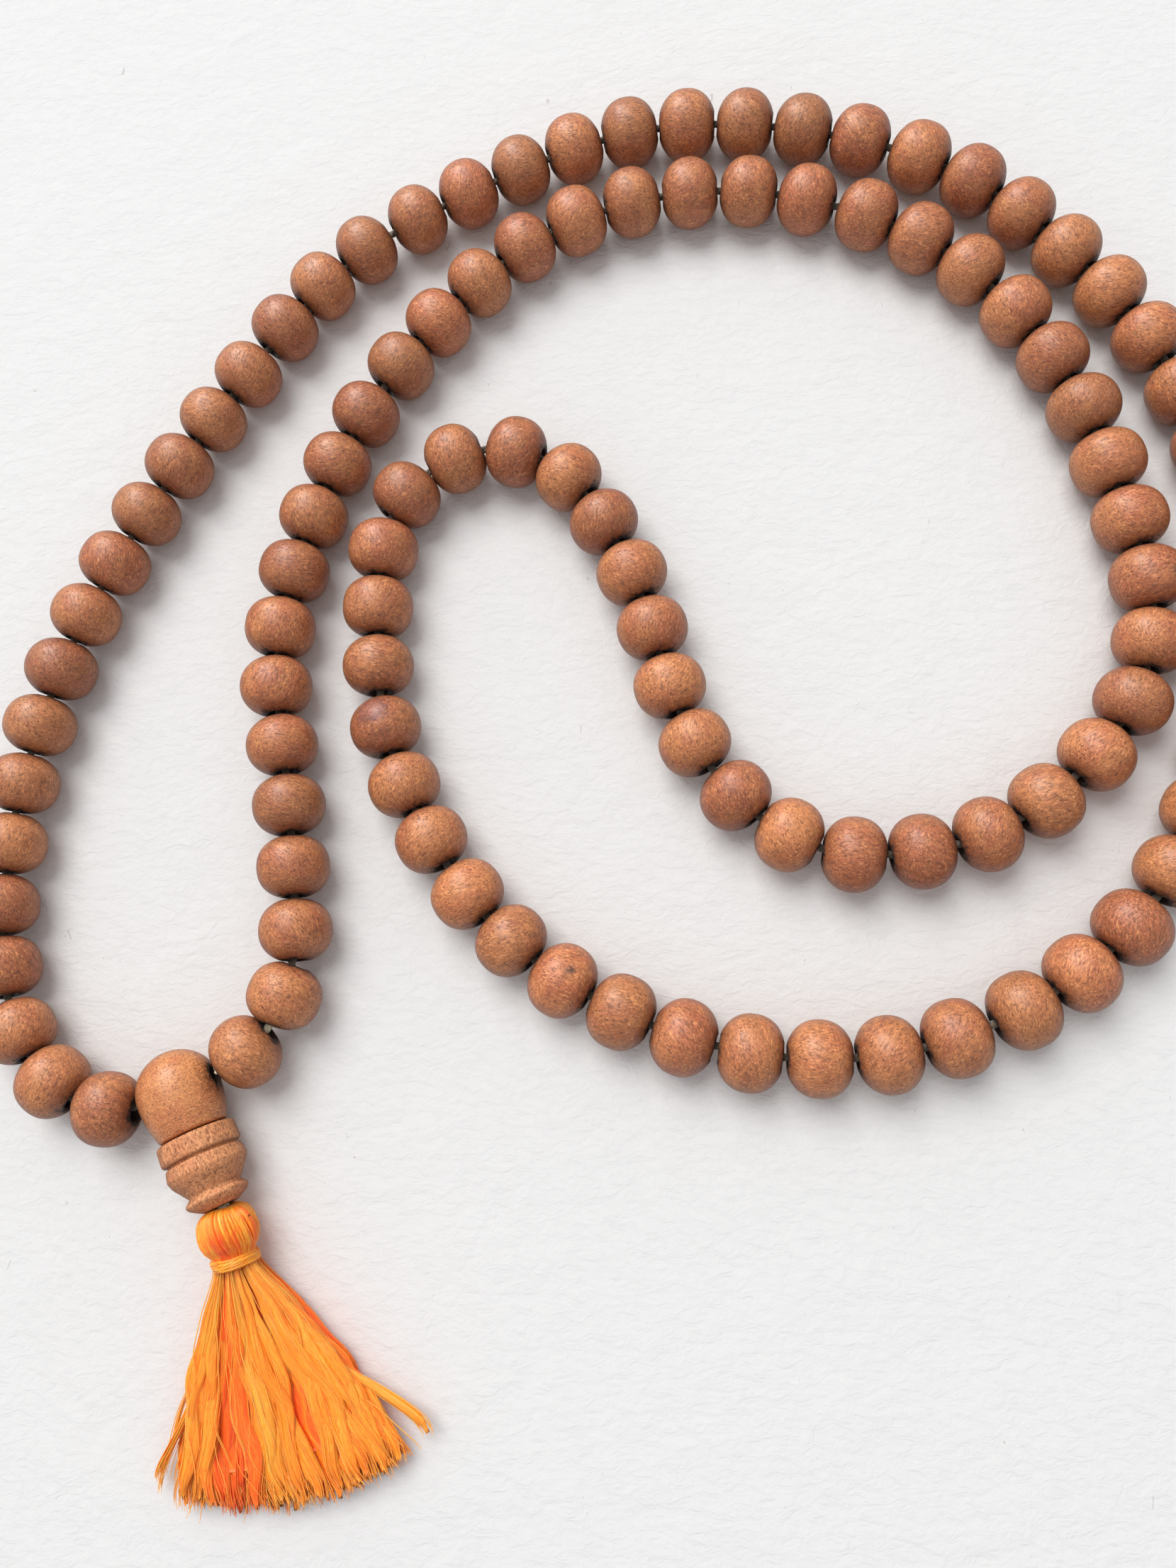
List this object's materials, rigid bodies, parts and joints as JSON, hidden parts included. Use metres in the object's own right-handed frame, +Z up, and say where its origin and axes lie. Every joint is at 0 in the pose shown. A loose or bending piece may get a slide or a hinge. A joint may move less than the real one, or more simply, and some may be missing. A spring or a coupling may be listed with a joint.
{
  "type": "mala prayer beads",
  "caption": "Wooden mala laid in a folded loop: round drilled beads on a cord, a larger three-hole guru bead, a stepped turned bead and a flared orange silk tassel.",
  "frame": {"origin": "on the table, under the middle of the laid object's bounding box", "axes": "+Z up off the table; +Y from the tassel towards the far side of the loop; +X to the right with the tassel nearest"},
  "size_m": [0.1385, 0.1552, 0.0085],
  "materials": {
    "bead_wood": "hand-worn satin, fine pores",
    "bead_wood_red": "hand-worn satin, redder beads",
    "bead_wood_tan": "hand-worn satin, lighter beads",
    "guru_wood": "smooth satin",
    "tower_wood": "unpolished, fine turning marks",
    "strand_thread": "twisted cotton thread",
    "silk": "glossy loose silk",
    "silk_deep": "glossy silk, deeper orange"
  },
  "bodies": {
    "strand": {"cord_laid_left": "strand_thread", "cord_laid_top": "strand_thread", "cord_laid_right": "strand_thread", "cord_laid_lower": "strand_thread", "cord_laid_lobe": "strand_thread", "cord_laid_inner_right": "strand_thread", "cord_laid_inner_top": "strand_thread", "cord_laid_guru": "strand_thread", "beads_001_003": "bead_wood_red", "beads_070_072": "bead_wood", "beads_106_108": "bead_wood"},
    "left_run": {"cord_left": "strand_thread"},
    "top_run": {"cord_top": "strand_thread"},
    "right_run": {"cord_right": "strand_thread"},
    "lower_run": {"cord_lower": "strand_thread"},
    "lobe_run": {"cord_lobe": "strand_thread", "beads_061_063": "bead_wood"},
    "inner_right_run": {"cord_inner_right": "strand_thread"},
    "inner_top_run": {"cord_inner_top": "strand_thread"},
    "guru": {"guru_bead": "guru_wood", "pendant_cord": "strand_thread"},
    "tower": {"tower_bead": "tower_wood"},
    "knot": {"pendant_knot": "strand_thread"},
    "tassel": {"tassel_head": "silk", "tassel_tie": "silk_deep", "tassel_neck_band": "silk", "tassel_skirt": "silk"},
    "beads_004_006": {"beads_004_006": "bead_wood_tan"},
    "beads_007_009": {"beads_007_009": "bead_wood"},
    "beads_010_012": {"beads_010_012": "bead_wood_red"},
    "beads_013_015": {"beads_013_015": "bead_wood_tan"},
    "beads_016_018": {"beads_016_018": "bead_wood"},
    "beads_019_021": {"beads_019_021": "bead_wood_red"},
    "beads_022_024": {"beads_022_024": "bead_wood_tan"},
    "beads_025_027": {"beads_025_027": "bead_wood"},
    "beads_028_030": {"beads_028_030": "bead_wood_red"},
    "beads_031_033": {"beads_031_033": "bead_wood_tan"},
    "beads_034_036": {"beads_034_036": "bead_wood"},
    "beads_037_039": {"beads_037_039": "bead_wood_red"},
    "beads_040_042": {"beads_040_042": "bead_wood_tan"},
    "beads_043_045": {"beads_043_045": "bead_wood"},
    "beads_046_048": {"beads_046_048": "bead_wood_red"},
    "beads_049_051": {"beads_049_051": "bead_wood_tan"},
    "beads_052_054": {"beads_052_054": "bead_wood"},
    "beads_055_057": {"beads_055_057": "bead_wood_red"},
    "beads_058_060": {"beads_058_060": "bead_wood_tan"},
    "beads_064_066": {"beads_064_066": "bead_wood_red"},
    "beads_067_069": {"beads_067_069": "bead_wood_tan"},
    "beads_073_075": {"beads_073_075": "bead_wood_red"},
    "beads_076_078": {"beads_076_078": "bead_wood_tan"},
    "beads_079_081": {"beads_079_081": "bead_wood"},
    "beads_082_084": {"beads_082_084": "bead_wood_red"},
    "beads_085_087": {"beads_085_087": "bead_wood_tan"},
    "beads_088_090": {"beads_088_090": "bead_wood"},
    "beads_091_093": {"beads_091_093": "bead_wood_red"},
    "beads_094_096": {"beads_094_096": "bead_wood_tan"},
    "beads_097_099": {"beads_097_099": "bead_wood"},
    "beads_100_102": {"beads_100_102": "bead_wood_red"},
    "beads_103_105": {"beads_103_105": "bead_wood_tan"}
  },
  "joints": [
    {"name": "guru_tilt", "type": "hinge", "parent": "strand", "child": "guru", "pos_m": [-0.04405, -0.03582, 0.00425], "axis": [-0.9046, -0.4263, 0], "range_deg": [0, 110]},
    {"name": "tassel_lift", "type": "hinge", "parent": "knot", "child": "tassel", "pos_m": [-0.0387, -0.04717, 0.00425], "axis": [-0.9613, -0.2756, 0], "range_deg": [0, 25]},
    {"name": "tassel_swing", "type": "hinge", "parent": "guru", "child": "knot", "pos_m": [-0.0387, -0.04717, 0.00425], "axis": [0, 0, 1], "range_deg": [-10, 12]},
    {"name": "tower_spin", "type": "hinge", "parent": "guru", "child": "tower", "pos_m": [-0.04405, -0.03582, 0.00425], "axis": [0.4263, -0.9046, 0], "continuous": true},
    {"name": "lift_left", "type": "hinge", "parent": "strand", "child": "left_run", "pos_m": [-0.06371, -0.02651, 0.00388], "axis": [0.3092, 0.951, 0], "range_deg": [0, 50]},
    {"name": "lift_top", "type": "hinge", "parent": "strand", "child": "top_run", "pos_m": [-0.0252, 0.06217, 0.00388], "axis": [0.9935, 0.1141, 0], "range_deg": [0, 45]},
    {"name": "lift_right", "type": "hinge", "parent": "strand", "child": "right_run", "pos_m": [0.06012, 0.0401, 0.00388], "axis": [-0.1104, -0.9939, 0], "range_deg": [0, 35]},
    {"name": "lift_lower", "type": "hinge", "parent": "strand", "child": "lower_run", "pos_m": [0.03734, -0.02942, 0.00388], "axis": [-0.9573, 0.289, 0], "range_deg": [0, 45]},
    {"name": "lift_lobe", "type": "hinge", "parent": "strand", "child": "lobe_run", "pos_m": [-0.02457, 0.00563, 0.00388], "axis": [0.9694, -0.2453, 0], "range_deg": [0, 30]},
    {"name": "lift_inner_right", "type": "hinge", "parent": "strand", "child": "inner_right_run", "pos_m": [0.04687, -0.00511, 0.00388], "axis": [0.0716, -0.9974, 0], "range_deg": [0, 35]},
    {"name": "lift_inner_top", "type": "hinge", "parent": "strand", "child": "inner_top_run", "pos_m": [0.02635, 0.06173, 0.00388], "axis": [0.9352, 0.3541, 0], "range_deg": [0, 40]},
    {"name": "turn_beads_004_006", "type": "hinge", "parent": "left_run", "child": "beads_004_006", "pos_m": [-0.06503, -0.01638, 0.00388], "axis": [-0.0504, 0.9987, 0], "range_deg": [-25, 25]},
    {"name": "turn_beads_007_009", "type": "hinge", "parent": "left_run", "child": "beads_007_009", "pos_m": [-0.06285, 0.00349, 0.00388], "axis": [0.2439, 0.9698, 0], "range_deg": [-40, 40]},
    {"name": "turn_beads_010_012", "type": "hinge", "parent": "left_run", "child": "beads_010_012", "pos_m": [-0.05574, 0.02223, 0.00388], "axis": [0.4624, 0.8867, 0], "range_deg": [-40, 40]},
    {"name": "turn_beads_013_015", "type": "hinge", "parent": "left_run", "child": "beads_013_015", "pos_m": [-0.04537, 0.03944, 0.00388], "axis": [0.5611, 0.8278, 0], "range_deg": [-40, 40]},
    {"name": "turn_beads_016_018", "type": "hinge", "parent": "strand", "child": "beads_016_018", "pos_m": [-0.03293, 0.05555, 0.00388], "axis": [0.7015, 0.7127, 0], "range_deg": [-25, 25]},
    {"name": "turn_beads_019_021", "type": "hinge", "parent": "top_run", "child": "beads_019_021", "pos_m": [-0.01604, 0.06667, 0.00388], "axis": [0.9081, 0.4187, 0], "range_deg": [-40, 40]},
    {"name": "turn_beads_022_024", "type": "hinge", "parent": "top_run", "child": "beads_022_024", "pos_m": [0.00296, 0.07293, 0.00388], "axis": [0.9882, 0.1533, 0], "range_deg": [-25, 25]},
    {"name": "turn_beads_025_027", "type": "hinge", "parent": "top_run", "child": "beads_025_027", "pos_m": [0.02283, 0.07177, 0.00388], "axis": [0.9713, -0.2378, 0], "range_deg": [-40, 40]},
    {"name": "turn_beads_028_030", "type": "hinge", "parent": "strand", "child": "beads_028_030", "pos_m": [0.04121, 0.06344, 0.00388], "axis": [0.7977, -0.6031, 0], "range_deg": [-25, 25]},
    {"name": "turn_beads_031_033", "type": "hinge", "parent": "strand", "child": "beads_031_033", "pos_m": [0.05479, 0.04879, 0.00388], "axis": [0.5685, -0.8227, 0], "range_deg": [-40, 40]},
    {"name": "turn_beads_034_036", "type": "hinge", "parent": "right_run", "child": "beads_034_036", "pos_m": [0.06331, 0.03043, 0.00388], "axis": [0.2502, -0.9682, 0], "range_deg": [-35, 35]},
    {"name": "turn_beads_037_039", "type": "hinge", "parent": "right_run", "child": "beads_037_039", "pos_m": [0.06453, 0.01057, 0.00388], "axis": [-0.1469, -0.9891, 0], "range_deg": [-30, 30]},
    {"name": "turn_beads_040_042", "type": "hinge", "parent": "right_run", "child": "beads_040_042", "pos_m": [0.05871, -0.00856, 0.00388], "axis": [-0.4254, -0.905, 0], "range_deg": [-30, 30]},
    {"name": "turn_beads_043_045", "type": "hinge", "parent": "strand", "child": "beads_043_045", "pos_m": [0.04602, -0.02412, 0.00388], "axis": [-0.8062, -0.5916, 0], "range_deg": [-25, 25]},
    {"name": "turn_beads_046_048", "type": "hinge", "parent": "lower_run", "child": "beads_046_048", "pos_m": [0.02744, -0.03177, 0.00388], "axis": [-0.9892, -0.1464, 0], "range_deg": [-25, 25]},
    {"name": "turn_beads_049_051", "type": "hinge", "parent": "lower_run", "child": "beads_049_051", "pos_m": [0.00768, -0.03015, 0.00388], "axis": [-0.9529, 0.3032, 0], "range_deg": [-25, 25]},
    {"name": "turn_beads_052_054", "type": "hinge", "parent": "lower_run", "child": "beads_052_054", "pos_m": [-0.00968, -0.02047, 0.00388], "axis": [-0.7438, 0.6685, 0], "range_deg": [-25, 25]},
    {"name": "turn_beads_055_057", "type": "hinge", "parent": "strand", "child": "beads_055_057", "pos_m": [-0.02132, -0.00402, 0.00388], "axis": [-0.3966, 0.918, 0], "range_deg": [-25, 25]},
    {"name": "turn_beads_058_060", "type": "hinge", "parent": "lobe_run", "child": "beads_058_060", "pos_m": [-0.02494, 0.01582, 0.00388], "axis": [0.0062, 1, 0], "range_deg": [-40, 40]},
    {"name": "turn_beads_064_066", "type": "hinge", "parent": "lobe_run", "child": "beads_064_066", "pos_m": [-0.00055, 0.02451, 0.00388], "axis": [0.5143, -0.8576, 0], "range_deg": [-20, 20]},
    {"name": "turn_beads_067_069", "type": "hinge", "parent": "lobe_run", "child": "beads_067_069", "pos_m": [0.00692, 0.00593, 0.00388], "axis": [0.3201, -0.9474, 0], "range_deg": [-25, 25]},
    {"name": "turn_beads_073_075", "type": "hinge", "parent": "strand", "child": "beads_073_075", "pos_m": [0.03804, -0.01003, 0.00388], "axis": [0.9298, 0.3681, 0], "range_deg": [-15, 15]},
    {"name": "turn_beads_076_078", "type": "hinge", "parent": "inner_right_run", "child": "beads_076_078", "pos_m": [0.05283, 0.00305, 0.00388], "axis": [0.4745, 0.8802, 0], "range_deg": [-15, 15]},
    {"name": "turn_beads_079_081", "type": "hinge", "parent": "inner_right_run", "child": "beads_079_081", "pos_m": [0.05465, 0.02239, 0.00388], "axis": [-0.2117, 0.9773, 0], "range_deg": [-40, 40]},
    {"name": "turn_beads_082_084", "type": "hinge", "parent": "inner_right_run", "child": "beads_082_084", "pos_m": [0.0482, 0.04133, 0.00388], "axis": [-0.4645, 0.8856, 0], "range_deg": [-30, 30]},
    {"name": "turn_beads_085_087", "type": "hinge", "parent": "strand", "child": "beads_085_087", "pos_m": [0.03514, 0.05662, 0.00388], "axis": [-0.8168, 0.5769, 0], "range_deg": [-25, 25]},
    {"name": "turn_beads_088_090", "type": "hinge", "parent": "inner_top_run", "child": "beads_088_090", "pos_m": [0.01643, 0.064, 0.00388], "axis": [-0.9897, 0.1432, 0], "range_deg": [-25, 25]},
    {"name": "turn_beads_091_093", "type": "hinge", "parent": "inner_top_run", "child": "beads_091_093", "pos_m": [-0.00319, 0.06177, 0.00388], "axis": [-0.9298, -0.3682, 0], "range_deg": [-20, 20]},
    {"name": "turn_beads_094_096", "type": "hinge", "parent": "inner_top_run", "child": "beads_094_096", "pos_m": [-0.01912, 0.04999, 0.00388], "axis": [-0.667, -0.7451, 0], "range_deg": [-40, 40]},
    {"name": "turn_beads_097_099", "type": "hinge", "parent": "strand", "child": "beads_097_099", "pos_m": [-0.03026, 0.03304, 0.00388], "axis": [-0.4126, -0.9109, 0], "range_deg": [-40, 40]},
    {"name": "turn_beads_100_102", "type": "hinge", "parent": "strand", "child": "beads_100_102", "pos_m": [-0.03571, 0.01383, 0.00388], "axis": [-0.1004, -0.9949, 0], "range_deg": [-20, 20]},
    {"name": "turn_beads_103_105", "type": "hinge", "parent": "strand", "child": "beads_103_105", "pos_m": [-0.03419, -0.00611, 0.00388], "axis": [0.1418, -0.9899, 0], "range_deg": [-40, 40]}
  ]
}
